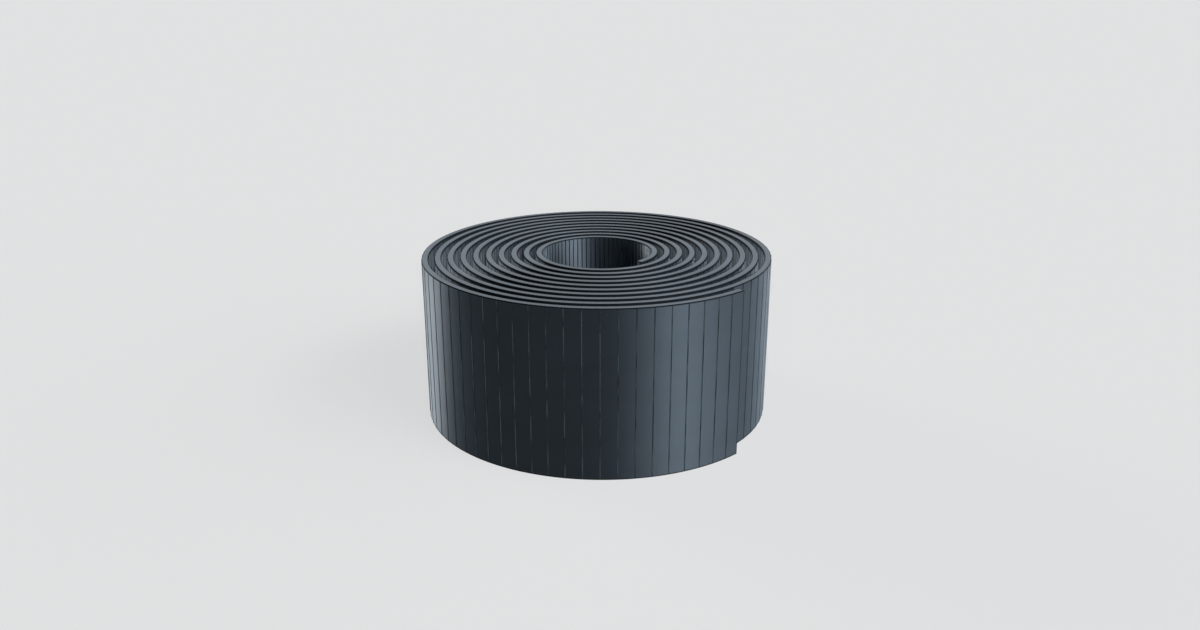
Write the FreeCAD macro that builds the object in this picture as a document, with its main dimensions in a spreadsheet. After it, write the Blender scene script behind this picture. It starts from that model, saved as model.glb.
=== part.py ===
"""Spiral torsion spring: one flat spring-steel strip, wound on edge into an open flat spiral.

Frame: the origin is on the axis of the spiral, in the plane of the strip's lower edge, and +Z
runs up along that axis. Seen from above, the strip starts at its inner end and winds outwards
counter-clockwise. Both ends are cut square to the strip, and the whole number of turns leaves
the outer end on the same bearing as the inner end.
"""
import FreeCAD, Part
import os
import Sketcher

NODE = "spiral_spring"

# Driving dimensions: alias, value in millimetres, degrees or turns, and what it measures
SIZES = (
    ("strip_thickness", 1.0, "thickness of the strip, measured along the radius"),
    ("strip_width", 25.8, "width of the strip, which is the height of the spring"),
    ("turn_gap", 1.0, "open space between one turn and the next"),
    ("arbor_radius", 8.0, "radius of the strip's inner wall at the inner end"),
    ("turn_count", 10.0, "turns from the inner end to the outer end"),
    ("end_bearing", 315.0, "direction of both ends from the axis, counter-clockwise from +X"),
)

# The helix feature's mode that takes its height, its turns and its growth in radius per turn
HEIGHT_TURNS_GROWTH = "height-turns-growth"


def add_sheet(doc):
    """The sheet of driving dimensions, with one alias to a row."""
    sheet = doc.addObject("Spreadsheet::Sheet", "Sizes")
    for row, (alias, value, meaning) in enumerate(SIZES, start=1):
        sheet.set(f"A{row}", alias)
        sheet.set(f"B{row}", str(value))
        sheet.set(f"C{row}", meaning)
        sheet.setAlias(f"B{row}", alias)
    doc.recompute()
    return sheet


def origin_plane(body, role):
    """One of the body's own origin planes."""
    return next(item for item in body.Origin.OriginFeatures if item.Role == role)


def add_section(body, sheet):
    """The strip's section: an upright rectangle in the XZ plane, off the axis by the arbor radius."""
    sketch = body.newObject("Sketcher::SketchObject", "StripSection")
    sketch.AttachmentSupport = [(origin_plane(body, "XZ_Plane"), "")]
    sketch.MapMode = "FlatFace"

    near = sheet.arbor_radius
    far = near + sheet.strip_thickness
    top = sheet.strip_width
    corners = [
        FreeCAD.Vector(near, 0, 0),
        FreeCAD.Vector(far, 0, 0),
        FreeCAD.Vector(far, top, 0),
        FreeCAD.Vector(near, top, 0),
    ]
    for start, end in zip(corners, corners[1:] + corners[:1]):
        sketch.addGeometry(Part.LineSegment(start, end), False)
    lower, outer, upper, inner = range(4)
    start_point, end_point = 1, 2
    x_axis, origin = -1, (-1, 1)

    for edge, following in ((lower, outer), (outer, upper), (upper, inner), (inner, lower)):
        sketch.addConstraint(
            Sketcher.Constraint("Coincident", edge, end_point, following, start_point)
        )
    for edge in (lower, upper):
        sketch.addConstraint(Sketcher.Constraint("Horizontal", edge))
    for edge in (outer, inner):
        sketch.addConstraint(Sketcher.Constraint("Vertical", edge))
    sketch.addConstraint(Sketcher.Constraint("PointOnObject", lower, start_point, x_axis))

    sized = (
        ("arbor_radius", "DistanceX", (*origin, lower, start_point)),
        ("strip_thickness", "DistanceX", (lower, start_point, lower, end_point)),
        ("strip_width", "DistanceY", (outer, start_point, outer, end_point)),
    )
    for alias, kind, points in sized:
        index = sketch.addConstraint(Sketcher.Constraint(kind, *points, getattr(sheet, alias)))
        sketch.renameConstraint(index, alias)
        sketch.setExpression(f"Constraints.{alias}", f"Sizes.{alias}")
    return sketch


def add_coil(body, section):
    """The section swept round the axis with no rise, its radius growing by one pitch each turn."""
    coil = body.newObject("PartDesign::AdditiveHelix", "WoundStrip")
    coil.Profile = section
    coil.ReferenceAxis = (section, ["V_Axis"])
    coil.Mode = HEIGHT_TURNS_GROWTH
    coil.Height = 0
    coil.setExpression("Turns", "Sizes.turn_count")
    coil.setExpression("Growth", "Sizes.strip_thickness + Sizes.turn_gap")
    coil.LeftHanded = False
    coil.Reversed = False
    return coil


def build_spring(doc, sheet):
    """The whole spring as one body, turned so that its two ends lie on the end bearing."""
    body = doc.addObject("PartDesign::Body", "SpiralSpring")
    body.Label = NODE
    section = add_section(body, sheet)
    doc.recompute()
    body.Tip = add_coil(body, section)
    body.Placement = FreeCAD.Placement(
        FreeCAD.Vector(0, 0, 0), FreeCAD.Rotation(FreeCAD.Vector(0, 0, 1), sheet.end_bearing)
    )
    body.setExpression("Placement.Rotation.Angle", "Sizes.end_bearing")
    doc.recompute()
    return body


def check_document(doc):
    """Stops on any object that did not build."""
    for item in doc.Objects:
        if "Invalid" in item.State or "Error" in item.State:
            raise RuntimeError(f"{item.Name} did not build: {item.State}")


def check_shape(body):
    """Stops on a shape that is missing, broken or more than one solid."""
    shape = body.Shape
    if shape.isNull() or not shape.isValid():
        raise RuntimeError(f"{body.Label} has no valid shape")
    if len(shape.Solids) != 1:
        raise RuntimeError(f"{body.Label} has {len(shape.Solids)} solids instead of one")


document = FreeCAD.newDocument("SpiralTorsionSpring")
spring = build_spring(document, add_sheet(document))
check_document(document)
check_shape(spring)

os.makedirs("parts", exist_ok=True)
spring.Shape.exportStep(f"parts/{spring.Label}.step")
box = spring.Shape.optimalBoundingBox(False, False)
print(f"{spring.Label}: {spring.Shape.Volume:.1f} cubic mm, in a box of {box}")
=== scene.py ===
"""Looks of the spiral torsion spring: one dark rolled strip, wound on edge, on a pale studio floor."""
import math

import bpy
import numpy as np
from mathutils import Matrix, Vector


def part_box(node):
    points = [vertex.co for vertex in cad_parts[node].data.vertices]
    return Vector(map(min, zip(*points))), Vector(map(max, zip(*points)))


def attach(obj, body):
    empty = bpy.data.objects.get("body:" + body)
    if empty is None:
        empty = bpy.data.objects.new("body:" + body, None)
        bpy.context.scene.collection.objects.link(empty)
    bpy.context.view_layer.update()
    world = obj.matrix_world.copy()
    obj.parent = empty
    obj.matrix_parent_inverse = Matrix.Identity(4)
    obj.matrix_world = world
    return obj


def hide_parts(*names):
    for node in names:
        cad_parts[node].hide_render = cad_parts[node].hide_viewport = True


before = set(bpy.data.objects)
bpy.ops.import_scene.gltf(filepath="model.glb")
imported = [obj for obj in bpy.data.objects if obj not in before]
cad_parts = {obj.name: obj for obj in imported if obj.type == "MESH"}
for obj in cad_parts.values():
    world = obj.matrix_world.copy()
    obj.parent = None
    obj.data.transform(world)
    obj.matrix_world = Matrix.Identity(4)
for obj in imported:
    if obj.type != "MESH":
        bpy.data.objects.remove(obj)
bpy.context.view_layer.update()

MM = 0.001

# The strip and its spiral, as in the part's source
THICKNESS = 1.0 * MM
GAP = 1.0 * MM
PITCH = THICKNESS + GAP
INNER_RADIUS = 8.0 * MM
TURNS = 10
TURNED_IN_ALL = TURNS * math.tau
END_BEARING = math.radians(315)
STRIP_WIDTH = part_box("spiral_spring")[1].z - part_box("spiral_spring")[0].z

# The slit edges and the cut ends are rounded a little
EDGE_RADIUS = 0.06 * MM
EDGE_STEPS = 2

# The winding left a low raised mark across both walls at each step. Places in a mark run from -1 to 1:
# from its foot over a steep side to its flat top, and down again
MARK_STEP = math.radians(5)
MARK_WIDTH = 0.16 * MM
MARK_HEIGHT = 0.05 * MM
MARK_FOOT = 1
MARK_SIDE = 0.9
MARK_TOP = 0.8
MARK_PLACES = (-MARK_FOOT, -MARK_SIDE, -MARK_TOP, 0, MARK_TOP, MARK_SIDE, MARK_FOOT)
SIDE_SLOPE = 3.0
PLAIN_COLUMNS = 2

# Base colours of the steel. Walls and marks each vary between two
WALL_COLOURS = ((0.059, 0.075, 0.092), (0.065, 0.083, 0.102))
# The bore's wall, the first turn's inner side, is lighter: painted light where the bore shades it
BORE_PAINTED_LIGHT_COLOUR = (0.104, 0.131, 0.160)
# Walls facing the gaps between turns are darker: painted shade between the turns, darker still on the
# inner side
OUTER_GAP_PAINTED_SHADE = (0.040, 0.056, 0.073)
INNER_GAP_PAINTED_SHADE = (0.018, 0.025, 0.032)
MARK_COLOURS = ((0.022, 0.030, 0.036), (0.058, 0.077, 0.087))
# Marks in the gaps are darker: painted shade between the turns
GAP_MARK_PAINTED_SHADE = (0.010, 0.013, 0.016)
SLIT_EDGE_COLOUR = (0.116, 0.136, 0.156)
OUTLINE_COLOUR = (0.012, 0.015, 0.019)
SHEEN_TINT = (0.66, 0.69, 0.72)

# Finish of the slit edges and cut ends, then of the rolled walls
METALLIC = (0.12, 0.9)
ROUGHNESS = (0.8, 0.58)
MARK_ROUGHNESS_SHARE = 0.35

# Uneven looks: stretch along, up and across the strip, scale, detail, and the range of the noise in use
BLUING_NOISE = ((0.3, 1, 1), 260, 3, 0.3, 0.7)
MARK_WEAR_NOISE = ((3, 1, 0.3), 260, 2, 0.42, 0.58)
GRAIN_NOISE = ((0.02, 1, 1), 9000, 2, 0.35, 0.65)
GRAIN_DEPTH = 0.012

# Corners of the strip are darker: a dark outline this wide on the walls and on the slit edges.
# It is wider on the walls in the gaps, as painted shade between the turns, and its border is soft by a
# share of its width
WALL_OUTLINE = 0.17 * MM
EDGE_OUTLINE = 0.10 * MM
GAP_OUTLINE_GROWTH = 2
OUTLINE_BLUR = 0.2

# How squarely a rounded edge has to face out to start and to finish looking like the face beside it
FACE_FADE = (0.65, 0.8)

# The photograph's camera, in front of the spring. Tilt is in degrees below level
LENS = 30.747
SENSOR_WIDTH = 36.0
CAMERA_DISTANCE = 158.948 * MM
CAMERA_HEIGHT = 70.136 * MM
CAMERA_TILT = 19.157
NEAREST_SEEN = 1 * MM
FARTHEST_SEEN = 100.0

# Soft boxes of the studio: bearing from the camera's side, elevation, strength, colour
WHITE = (1, 1, 1)
WARM = (1.15, 1, 0.89)
LAMP_ANGLE = math.radians(24)
LAMPS = (
    (-130, 14, 1.6, WARM),
    (50, 38, 1.5, WHITE),
    (70, 38, 0.9, WHITE),
    (30, 38, 0.7, WHITE),
    (90, 38, 0.38, WHITE),
    (-110, 38, 0.1, WHITE),
    (-110, 14, 0.25, WHITE),
    (130, 14, 0.36, WHITE),
    (110, 14, 0.5, WHITE),
    (90, 14, 0.65, WHITE),
    (70, 14, 0.5, WHITE),
    (50, 14, 0.55, WHITE),
)

# Lamps behind the spring that cast no shadow, so that their light reaches into the gaps
GAP_LAMPS = (
    (-133, 14, 0.6, WARM),
    (-150, 14, 0.65, WHITE),
    (-170, 14, 0.7, WHITE),
    (170, 14, 0.65, WHITE),
    (150, 14, 0.9, WHITE),
    (130, 14, 0.25, WHITE),
)

# The plain pale tone round the spring: the floor's glow and its lit part add up to the backdrop's tone
PALE = (0.988, 1, 1.012)
FLOOR_GLOW = 0.618
FLOOR_COLOUR = (0.10, 0.10, 0.10)
FLOOR_REACH = 12.0
BACKDROP_TONE = 0.753
ROOM_LIGHT = 0.02

# The backdrop fades out between these heights of the direction looked in, 0 at the horizon and 1 overhead
BACKDROP_FADE = (0.12, 0.22)

# Sockets of a mix node: its first value, its second value and its result
MIX_SOCKETS = {"FLOAT": (2, 3, 0), "RGBA": (6, 7, 2)}


def section_points():
    """The strip's section as (across, up, outward normal, wall share), counter-clockwise.

    across runs from 0 at the inner wall to the thickness at the outer wall. wall share is -1 on
    the inner wall, 1 on the outer wall and 0 elsewhere.
    """
    corners = (
        (THICKNESS - EDGE_RADIUS, EDGE_RADIUS, -90),
        (THICKNESS - EDGE_RADIUS, STRIP_WIDTH - EDGE_RADIUS, 0),
        (EDGE_RADIUS, STRIP_WIDTH - EDGE_RADIUS, 90),
        (EDGE_RADIUS, EDGE_RADIUS, 180),
    )
    points = []
    for across, up, first_angle in corners:
        for step in range(EDGE_STEPS + 1):
            angle = math.radians(first_angle + 90 * step / EDGE_STEPS)
            normal = (round(math.cos(angle), 9), round(math.sin(angle), 9))
            wall = normal[0] if normal[1] == 0 else 0
            points.append(
                (across + EDGE_RADIUS * normal[0], up + EDGE_RADIUS * normal[1], normal, wall)
            )
    return points


def spiral_radius(turned):
    """Radius of the strip's inner wall, after an angle turned from the inner end."""
    return INNER_RADIUS + PITCH * turned / math.tau


def middle_radius(turned):
    """Radius of the middle of the strip."""
    return spiral_radius(turned) + THICKNESS / 2


def strip_length(turned):
    """Length of strip from the inner end to an angle turned, along its middle."""
    return middle_radius(0) * turned + PITCH * turned**2 / (2 * math.tau)


def wall_columns():
    """Angles turned at which the walls have a column, each with its place in a mark or None."""
    found = []
    for step in range(round(TURNED_IN_ALL / MARK_STEP)):
        start = step * MARK_STEP
        half_mark = MARK_WIDTH / 2 / middle_radius(start)
        if step > 0:
            found += [(start + half_mark * place, place) for place in MARK_PLACES]
        clear = MARK_STEP - 2 * half_mark
        for plain in range(1, PLAIN_COLUMNS + 1):
            found.append((start + half_mark + clear * plain / (PLAIN_COLUMNS + 1), None))
    return found


def end_columns(face, side):
    """Columns that round a cut end: the angle turned, how far they are drawn in, how they lean forward.

    face is the angle turned at the end face. side is -1 at the inner end and 1 at the outer end.
    """
    found = []
    for step in range(EDGE_STEPS + 1):
        tilt = math.radians(90 * step / EDGE_STEPS)
        from_face = EDGE_RADIUS * (1 - math.sin(tilt)) / middle_radius(face)
        drawn_in = EDGE_RADIUS * (1 - math.cos(tilt))
        found.append((face - side * from_face, drawn_in, side * math.sin(tilt)))
    return sorted(found)


def mark_profile(place):
    """A column's height in a mark, the forward slope of its normal and its share of the mark's finish."""
    if place is None or abs(place) == MARK_FOOT:
        return 0.0, 0.0, 0.0
    if abs(place) == MARK_SIDE:
        return MARK_HEIGHT / 2, math.copysign(SIDE_SLOPE, place), 1.0
    return MARK_HEIGHT, 0.0, 1.0


def strip_faces(rings, count):
    """Faces between each ring of points and the next one, and the faces of the two cut ends."""
    faces = []
    for ring in range(rings - 1):
        near, far = ring * count, (ring + 1) * count
        for point in range(count):
            following = (point + 1) % count
            faces.append((near + point, far + point, far + following, near + following))
    faces.append(tuple(range(count)))
    faces.append(tuple(range(rings * count - 1, (rings - 1) * count - 1, -1)))
    return faces


def build_strip():
    """The whole strip as one closed mesh, with its true normals and its coordinates along the strip."""
    section = section_points()
    rings = [(turned, None, drawn_in, lean) for turned, drawn_in, lean in end_columns(0, -1)]
    rings += [(turned, place, 0.0, 0.0) for turned, place in wall_columns()]
    rings += [(turned, None, drawn_in, lean) for turned, drawn_in, lean in end_columns(TURNED_IN_ALL, 1)]

    vertices, normals, along, finish = [], [], [], []
    for turned, place, drawn_in, lean in rings:
        bearing = END_BEARING + turned
        outward = np.array((math.cos(bearing), math.sin(bearing), 0))
        tangent = np.array((-outward[1], outward[0], 0))
        growth = PITCH / math.tau / middle_radius(turned)
        ahead = (tangent + growth * outward) / math.hypot(1, growth)
        square = (outward - growth * tangent) / math.hypot(1, growth)
        mark_height, mark_slope, marked = mark_profile(place)
        for across, up, normal, wall in section:
            radius = spiral_radius(turned) + across + wall * mark_height - normal[0] * drawn_in
            height = up - normal[1] * drawn_in
            vertices.append((*(outward * radius)[:2], height))
            facing = normal[0] * square + np.array((0, 0, normal[1]))
            facing = facing + abs(wall) * mark_slope * ahead
            facing = facing * math.sqrt(1 - lean**2) + lean * ahead
            normals.append(facing / np.linalg.norm(facing))
            along.append((strip_length(turned), up, across))
            finish.append((abs(normal[0]), abs(wall) * marked, abs(lean)))

    faces = strip_faces(len(rings), len(section))
    mesh = bpy.data.meshes.new("wound_strip")
    mesh.from_pydata(vertices, [], faces)
    mesh.polygons.foreach_set("use_smooth", [True] * len(faces))
    mesh.normals_split_custom_set_from_vertices(normals)
    store_vectors(mesh, "strip_place", along)
    store_vectors(mesh, "strip_finish", finish)
    add_grain_map(mesh, section, along)
    mesh.validate()
    strip = bpy.data.objects.new("wound_strip", mesh)
    bpy.context.scene.collection.objects.link(strip)
    return strip


def store_vectors(mesh, name, rows):
    """A vector for each vertex, under a name that the material reads."""
    attribute = mesh.attributes.new(name, "FLOAT_VECTOR", "POINT")
    attribute.data.foreach_set("vector", np.array(rows, np.float32).ravel())


def add_grain_map(mesh, section, along):
    """A UV map whose U runs round the section, so that its tangent does, and V along the grain."""
    count = len(section)
    round_section = [0.0]
    for here, following in zip(section, section[1:] + section[:1]):
        round_section.append(round_section[-1] + math.dist(here[:2], following[:2]))
    layer = mesh.uv_layers.new(name="across_grain")
    vertex = np.zeros(len(mesh.loops), np.int32)
    mesh.loops.foreach_get("vertex_index", vertex)
    u = np.array(round_section)[vertex % count]
    v = np.array(along)[vertex, 0]

    # The face that closes each ring ends at the whole way round, not at 0
    side_corners = (len(mesh.polygons) - 2) * 4
    closing_face = (np.arange(side_corners) // 4) % count == count - 1
    closing_corner = closing_face & (vertex[:side_corners] % count == 0)
    u[:side_corners][closing_corner] = round_section[-1]
    layer.data.foreach_set("uv", np.stack([u, v], -1).astype(np.float32).ravel())


class NodeBuilder:
    """Adds nodes to the tree of a material or a world. Values are outputs, colours or numbers."""

    def __init__(self, tree):
        self.tree = tree

    def feed(self, socket, value):
        """Links an output to a socket, or sets the socket to a colour or a number."""
        if isinstance(value, bpy.types.NodeSocket):
            self.tree.links.new(value, socket)
        elif isinstance(value, tuple):
            socket.default_value = (*value, 1)
        else:
            socket.default_value = value

    def attribute(self, name):
        """The vector that the mesh stores under a name."""
        node = self.tree.nodes.new("ShaderNodeAttribute")
        node.attribute_name = name
        return node.outputs["Vector"]

    def split(self, vector):
        """The three numbers of a vector."""
        node = self.tree.nodes.new("ShaderNodeSeparateXYZ")
        self.feed(node.inputs[0], vector)
        return node.outputs

    def calculate(self, operation, first, second):
        """One step of arithmetic."""
        node = self.tree.nodes.new("ShaderNodeMath")
        node.operation = operation
        self.feed(node.inputs[0], first)
        self.feed(node.inputs[1], second)
        return node.outputs[0]

    def opposite(self, share):
        """1 where a share is 0, and 0 where it is 1."""
        return self.calculate("SUBTRACT", 1.0, share)

    def spread(self, value, start, end, first, second):
        """The first number where a value is at the start or before, the second at the end or after."""
        node = self.tree.nodes.new("ShaderNodeMapRange")
        self.feed(node.inputs["Value"], value)
        self.feed(node.inputs["From Min"], start)
        self.feed(node.inputs["From Max"], end)
        self.feed(node.inputs["To Min"], first)
        self.feed(node.inputs["To Max"], second)
        return node.outputs["Result"]

    def mix(self, share, first, second, kind="RGBA"):
        """The first value at share 0 and the second at share 1. Kind RGBA mixes colours, FLOAT numbers."""
        node = self.tree.nodes.new("ShaderNodeMix")
        node.data_type = kind
        at_first, at_second, at_result = MIX_SOCKETS[kind]
        self.feed(node.inputs["Factor"], share)
        self.feed(node.inputs[at_first], first)
        self.feed(node.inputs[at_second], second)
        return node.outputs[at_result]

    def noise(self, vector, stretch, scale, detail, lowest, highest):
        """Noise from 0 to 1, of which only the middle range is used and spread out."""
        mapping = self.tree.nodes.new("ShaderNodeMapping")
        mapping.inputs["Scale"].default_value = stretch
        self.feed(mapping.inputs["Vector"], vector)
        node = self.tree.nodes.new("ShaderNodeTexNoise")
        self.feed(node.inputs["Vector"], mapping.outputs["Vector"])
        self.feed(node.inputs["Scale"], scale)
        self.feed(node.inputs["Detail"], detail)
        return self.spread(node.outputs["Fac"], lowest, highest, 0, 1)

    def seen_rays(self):
        """1 for rays that show a thing, seen or mirrored, and 0 for rays that only carry its light."""
        path = self.tree.nodes.new("ShaderNodeLightPath")
        seen = path.outputs["Is Camera Ray"]
        for name in ("Is Glossy Ray", "Is Transmission Ray"):
            seen = self.calculate("MAXIMUM", seen, path.outputs[name])
        return seen


def strip_zones(build):
    """Each zone of the strip's surface by name, as a share from 0 to 1."""
    length, height, across = build.split(build.attribute("strip_place"))
    facing_out, in_mark, end_tilt = build.split(build.attribute("strip_finish"))
    on_wall = build.spread(facing_out, *FACE_FADE, 0, 1)
    on_end = build.spread(end_tilt, *FACE_FADE, 0, 1)

    outer_side = build.calculate("GREATER_THAN", across, THICKNESS / 2)
    inner_side = build.opposite(outer_side)
    before_last_turn = build.calculate("LESS_THAN", length, strip_length(TURNED_IN_ALL - math.tau))
    in_first_turn = build.calculate("LESS_THAN", length, strip_length(math.tau))
    # The bore's wall, where light is painted on
    painted_light_bore = build.calculate("MULTIPLY", inner_side, in_first_turn)
    # Walls facing the gaps between turns, where shade is painted on
    inner_gap = build.calculate("SUBTRACT", inner_side, painted_light_bore)
    outer_gap = build.calculate("MULTIPLY", outer_side, before_last_turn)
    in_gap = build.calculate("ADD", outer_gap, inner_gap)

    def from_corner(distance, whole):
        return build.calculate("MINIMUM", distance, build.calculate("SUBTRACT", whole, distance))

    def within(distance, reach):
        return build.spread(distance, (1 - OUTLINE_BLUR) * reach, (1 + OUTLINE_BLUR) * reach, 1, 0)

    from_edge = from_corner(height, STRIP_WIDTH)
    # In the gaps the outline reaches further: painted shade between the turns
    narrowing = build.spread(in_gap, 0, 1, 1, 1 / GAP_OUTLINE_GROWTH)
    wall_rim = within(build.calculate("MULTIPLY", from_edge, narrowing), WALL_OUTLINE)
    edge_rim = within(from_corner(across, THICKNESS), EDGE_OUTLINE)
    end_rim = build.calculate("MAXIMUM", within(from_edge, EDGE_OUTLINE), edge_rim)
    near_end = within(from_corner(length, strip_length(TURNED_IN_ALL)), WALL_OUTLINE)
    wall_or_edge_rim = build.mix(on_wall, edge_rim, wall_rim, "FLOAT")
    side_rim = build.calculate("MAXIMUM", wall_or_edge_rim, near_end)
    return {
        "rolled": build.calculate("MULTIPLY", on_wall, build.opposite(on_end)),
        "painted_light_bore": painted_light_bore,
        "inner_gap": inner_gap,
        "gap": in_gap,
        "mark": in_mark,
        "outline": build.mix(on_end, side_rim, end_rim, "FLOAT"),
    }


def steel_colour(build, zones, place):
    """Blued walls, with painted shade in the gaps and painted light on the bore's wall, with marks, slit
    edges and dark outlines.
    """
    walls = build.mix(build.noise(place, *BLUING_NOISE), *WALL_COLOURS)
    # The bore's wall is painted lighter: painted light in the bore's own shade
    open_walls = build.mix(zones["painted_light_bore"], walls, BORE_PAINTED_LIGHT_COLOUR)
    # Walls in the gaps are painted darker: painted shade between the turns
    painted_shade_gap_walls = build.mix(zones["inner_gap"], OUTER_GAP_PAINTED_SHADE, INNER_GAP_PAINTED_SHADE)
    all_walls = build.mix(zones["gap"], open_walls, painted_shade_gap_walls)
    open_marks = build.mix(build.noise(place, *MARK_WEAR_NOISE), *MARK_COLOURS)
    # Marks in the gaps take painted shade
    all_marks = build.mix(zones["gap"], open_marks, GAP_MARK_PAINTED_SHADE)
    rolled = build.mix(zones["mark"], all_walls, all_marks)
    body = build.mix(zones["rolled"], SLIT_EDGE_COLOUR, rolled)
    return build.mix(zones["outline"], body, OUTLINE_COLOUR)


def steel_roughness(build, zones, shine, place):
    """Smoother on the walls than on the slit edges, smoothest on the open marks, with a fine grain."""
    grain = build.spread(build.noise(place, *GRAIN_NOISE), 0, 1, -GRAIN_DEPTH, GRAIN_DEPTH)
    roughness = build.calculate("ADD", grain, build.spread(shine, 0, 1, *ROUGHNESS))
    shiny_mark = build.calculate("MULTIPLY", shine, zones["mark"])
    smoothed = build.calculate("MULTIPLY", shiny_mark, build.opposite(zones["gap"]))
    return build.calculate("MULTIPLY", roughness, build.spread(smoothed, 0, 1, 1, MARK_ROUGHNESS_SHARE))


def steel():
    """Dark blued spring steel, rolled, with a sheen that lies across its grain."""
    material = bpy.data.materials.new("dark_spring_steel")
    material.use_nodes = True
    build = NodeBuilder(material.node_tree)
    shader = material.node_tree.nodes["Principled BSDF"]
    shader.inputs["Specular IOR Level"].default_value = 0.0
    shader.inputs["Specular Tint"].default_value = (*SHEEN_TINT, 1)
    shader.inputs["Anisotropic"].default_value = 1.0

    tangent = material.node_tree.nodes.new("ShaderNodeTangent")
    tangent.direction_type = "UV_MAP"
    tangent.uv_map = "across_grain"
    build.feed(shader.inputs["Tangent"], tangent.outputs["Tangent"])

    place = build.attribute("strip_place")
    zones = strip_zones(build)
    shine = build.calculate("MULTIPLY", zones["rolled"], build.opposite(zones["outline"]))
    build.feed(shader.inputs["Base Color"], steel_colour(build, zones, place))
    build.feed(shader.inputs["Metallic"], build.spread(shine, 0, 1, *METALLIC))
    build.feed(shader.inputs["Roughness"], steel_roughness(build, zones, shine, place))
    return material


def add_camera():
    """The photograph's view: a camera on the spring's front side, looking a little down."""
    data = bpy.data.cameras.new("camera")
    data.sensor_width = SENSOR_WIDTH
    data.lens = LENS
    data.clip_start = NEAREST_SEEN
    data.clip_end = FARTHEST_SEEN
    camera = bpy.data.objects.new("camera", data)
    camera.location = (0, -CAMERA_DISTANCE, CAMERA_HEIGHT)
    camera.rotation_euler = (math.radians(90 - CAMERA_TILT), 0, 0)
    bpy.context.scene.collection.objects.link(camera)
    bpy.context.scene.camera = camera


def add_floor():
    """A wide plain pale floor. Part of its tone is its own, so the spring's shadow stays light on it."""
    corners = [(x * FLOOR_REACH, y * FLOOR_REACH, 0) for x, y in ((-1, -1), (1, -1), (1, 1), (-1, 1))]
    mesh = bpy.data.meshes.new("floor")
    mesh.from_pydata(corners, [], [(0, 1, 2, 3)])
    floor = bpy.data.objects.new("floor", mesh)
    bpy.context.scene.collection.objects.link(floor)
    material = bpy.data.materials.new("pale_floor")
    material.use_nodes = True
    shader = material.node_tree.nodes["Principled BSDF"]
    shader.inputs["Base Color"].default_value = (*FLOOR_COLOUR, 1)
    shader.inputs["Roughness"].default_value = 1.0
    shader.inputs["Specular IOR Level"].default_value = 0.0
    shader.inputs["Emission Color"].default_value = (*PALE, 1)
    build = NodeBuilder(material.node_tree)
    glow = build.calculate("MULTIPLY", build.seen_rays(), FLOOR_GLOW)
    build.feed(shader.inputs["Emission Strength"], glow)
    mesh.materials.append(material)


def add_world():
    """A dim room, and a pale backdrop at the horizon that is seen and mirrored but lights nothing."""
    world = bpy.data.worlds.new("studio")
    bpy.context.scene.world = world
    world.use_nodes = True
    background = world.node_tree.nodes["Background"]
    background.inputs["Color"].default_value = (*PALE, 1)
    build = NodeBuilder(world.node_tree)
    direction = world.node_tree.nodes.new("ShaderNodeTexCoord").outputs["Generated"]
    backdrop = build.spread(build.split(direction)["Z"], *BACKDROP_FADE, BACKDROP_TONE, ROOM_LIGHT)
    seen_backdrop = build.calculate("MULTIPLY", backdrop, build.seen_rays())
    strength = build.calculate("MAXIMUM", seen_backdrop, ROOM_LIGHT)
    build.feed(background.inputs["Strength"], strength)


def add_lamp(bearing, elevation, strength, colour, casts_shadow):
    """A soft box far away: a Sun lamp. Bearing is 0 on the camera's side and grows to the right."""
    data = bpy.data.lights.new("soft_box", "SUN")
    data.angle = LAMP_ANGLE
    data.energy = strength
    data.color = colour
    data.use_shadow = casts_shadow
    # A lamp without shadow keeps its whole sheen in the gaps only when mirrored rays aren't sampled for it
    data.cycles.use_multiple_importance_sampling = casts_shadow
    lamp = bpy.data.objects.new("soft_box", data)
    turn = math.radians(bearing)
    rise = math.radians(elevation)
    towards = Vector((math.sin(turn) * math.cos(rise), -math.cos(turn) * math.cos(rise), math.sin(rise)))
    lamp.rotation_euler = towards.to_track_quat("Z", "Y").to_euler()
    bpy.context.scene.collection.objects.link(lamp)


bpy.context.scene.view_settings.view_transform = "Standard"
add_camera()
add_floor()
add_world()
for lamp in LAMPS:
    add_lamp(*lamp, casts_shadow=True)
for lamp in GAP_LAMPS:
    add_lamp(*lamp, casts_shadow=False)
spring = build_strip()
spring.data.materials.append(steel())
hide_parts("spiral_spring")
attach(spring, "root")
